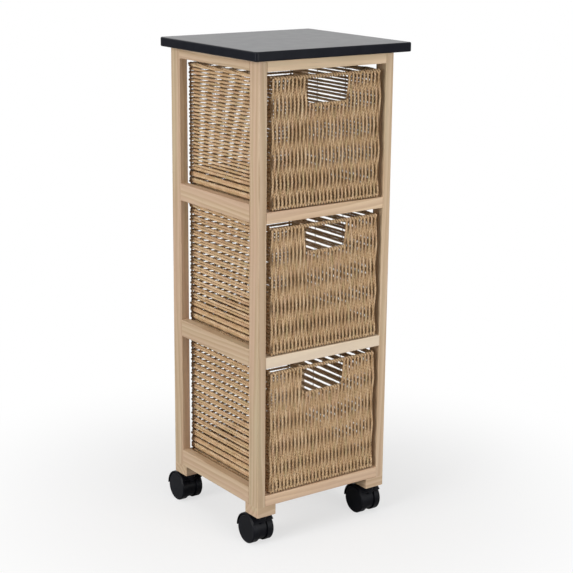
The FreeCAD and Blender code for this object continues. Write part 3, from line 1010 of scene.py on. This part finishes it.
# %% Weave the three baskets
for seed, level in enumerate(levels):
    walls = basket_places(level)
    body = level + "_basket"
    grass = {"Material": seagrass_finish, "Seed": seed + 1}
    points, counts, outward, rods = band_guide(walls)
    paired, fuller = side_shares(walls, points, outward)
    written = {"crossings": counts, "outwards": outward, "paired": paired}
    band = [band_mesh(walls, level, points, {**written, "fuller": fuller}, grass)]
    joined(body + "_band", band, body, "woven_grass", body + "_side_weave")
    belt_and_rim = [belt_mesh(points, written, grass), rim_mesh(walls, points, grass)]
    joined(body + "_belt_and_rim", belt_and_rim, body, "woven_grass", body + "_side_weave")
    front = [front_mesh(walls, level, grass), front_edges(walls, level, grass)]
    joined(body + "_front", front, body, "woven_grass", body + "_front_weave")
    joined(body + "_base", [base_mesh(walls, grass)], body, "woven_grass", body + "_base_weave")
    joined(body + "_wires", cage_meshes(walls, rods), body, "cage_wire", body + "_wire_cage")

# %% [markdown]
# ## Floor, light and camera
# The photograph is a plain product shot: white ground, and soft light from all round with more
# from the left, the front and above. A pale floor under an even white sky gives the first, and
# three large lamps add the direction. The camera stands where the photograph's lines say that it
# stood.

# %% The floor
floor_reach = 40.0
shadow_reach = (0.18, 0.75)
shadow_keep = 0.66


def grey(value):
    return (value, value, value)


def pale_floor():
    """Pale and matt, with the object's shadow near it, running out into the white ground."""
    material, g, shader = new_material("pale_floor", roughness=0.9, specular=0.1)
    place = g.own_place()
    seen = g.out("ShaderNodeLightPath")
    cloud = g.noise(place, 1.5, 2.0)
    bounced = g.ramp(cloud, [(0.3, grey(0.50)), (0.7, grey(0.52))])
    pale = g.ramp(cloud, [(0.3, grey(0.93)), (0.7, grey(0.94))])
    plug(g, shader, g.mixed(seen, bounced, pale))
    ground = g.add("ShaderNodeEmission", {"Color": (1.0, 1.0, 1.0, 1.0), "Strength": 1.0})
    share = g.remap(g.measure("LENGTH", place), *shadow_reach, shadow_keep, 1.0, smooth=True)
    inputs = {0: g.times(share, seen), 1: shader.outputs[0], 2: ground.outputs[0]}
    both = g.out("ShaderNodeMixShader", inputs)
    g.tree.links.new(both, g.tree.nodes["Material Output"].inputs[0])
    return material


floor_mesh = bpy.data.meshes.new("floor")
floor_corners = [(-floor_reach, -floor_reach, 0), (floor_reach, -floor_reach, 0),
                 (floor_reach, floor_reach, 0), (-floor_reach, floor_reach, 0)]
floor_mesh.from_pydata(floor_corners, [], [(0, 1, 2, 3)])
floor_mesh.materials.append(pale_floor())
floor = bpy.data.objects.new("floor", floor_mesh)
bpy.context.scene.collection.objects.link(floor)
print("floor:", 2 * floor_reach, "m wide")

# %% The sky
sky_light, sky_seen = 0.13, 1.0
world = bpy.data.worlds.new("studio")
bpy.context.scene.world = world
world.use_nodes = True
g = Graph(world.node_tree)
rays = g.add("ShaderNodeLightPath").outputs
seen = g.math("MAXIMUM", rays["Is Camera Ray"], rays["Is Transmission Ray"])
seen = g.math("MAXIMUM", seen, rays["Is Glossy Ray"])
background = world.node_tree.nodes["Background"]
background.inputs["Color"].default_value = (1.0, 1.0, 1.0, 1.0)
strength = g.remap(seen, 0.0, 1.0, sky_light, sky_seen)
world.node_tree.links.new(strength, background.inputs["Strength"])
print("sky:", sky_light, "as light and", sky_seen, "as seen")


# %% The lamps
def lamp(name, place, target, size, power):
    data = bpy.data.lights.new(name, "AREA")
    data.shape = "SQUARE"
    data.size = size
    data.energy = power
    made = bpy.data.objects.new(name, data)
    made.location = place
    made.rotation_mode = "QUATERNION"
    made.rotation_quaternion = (Vector(target) - Vector(place)).to_track_quat("-Z", "Y")
    bpy.context.scene.collection.objects.link(made)
    print("lamp:", name, power, "W")


lamp("overhead", (-0.3, -0.5, 3.3), (0.0, 0.0, 0.5), 2.6, 37.0)
lamp("left_key", (-3.3, -0.45, 1.4), (0.0, 0.0, 0.45), 1.8, 80.0)
lamp("front_fill", (0.6, -3.3, 0.8), (0.0, 0.0, 0.45), 1.8, 54.0)

# %% Camera
azimuth, elevation, roll = math.radians(-35.46), math.radians(14.87), math.radians(0.51)
camera_place = (-1.3976, -1.98185, 1.0374)
focal_pixels, image_pixels, sensor_width = 1496.28, 573, 36.0
back = Vector((math.sin(azimuth) * math.cos(elevation), -math.cos(azimuth) * math.cos(elevation),
               math.sin(elevation)))
right = (-back).cross(Vector((0, 0, 1))).normalized()
up = right.cross(-back)
rolled_right = right * math.cos(roll) + up * math.sin(roll)
rolled_up = up * math.cos(roll) - right * math.sin(roll)
facing = Matrix((rolled_right, rolled_up, back)).transposed().to_4x4()
camera_data = bpy.data.cameras.new("camera")
camera_data.sensor_width = sensor_width
camera_data.lens = sensor_width * focal_pixels / image_pixels
camera = bpy.data.objects.new("camera", camera_data)
bpy.context.scene.collection.objects.link(camera)
camera.matrix_world = Matrix.Translation(camera_place) @ facing
bpy.context.scene.camera = camera
bpy.context.scene.view_settings.view_transform = "Standard"
print("lens:", round(camera_data.lens, 1), "mm")
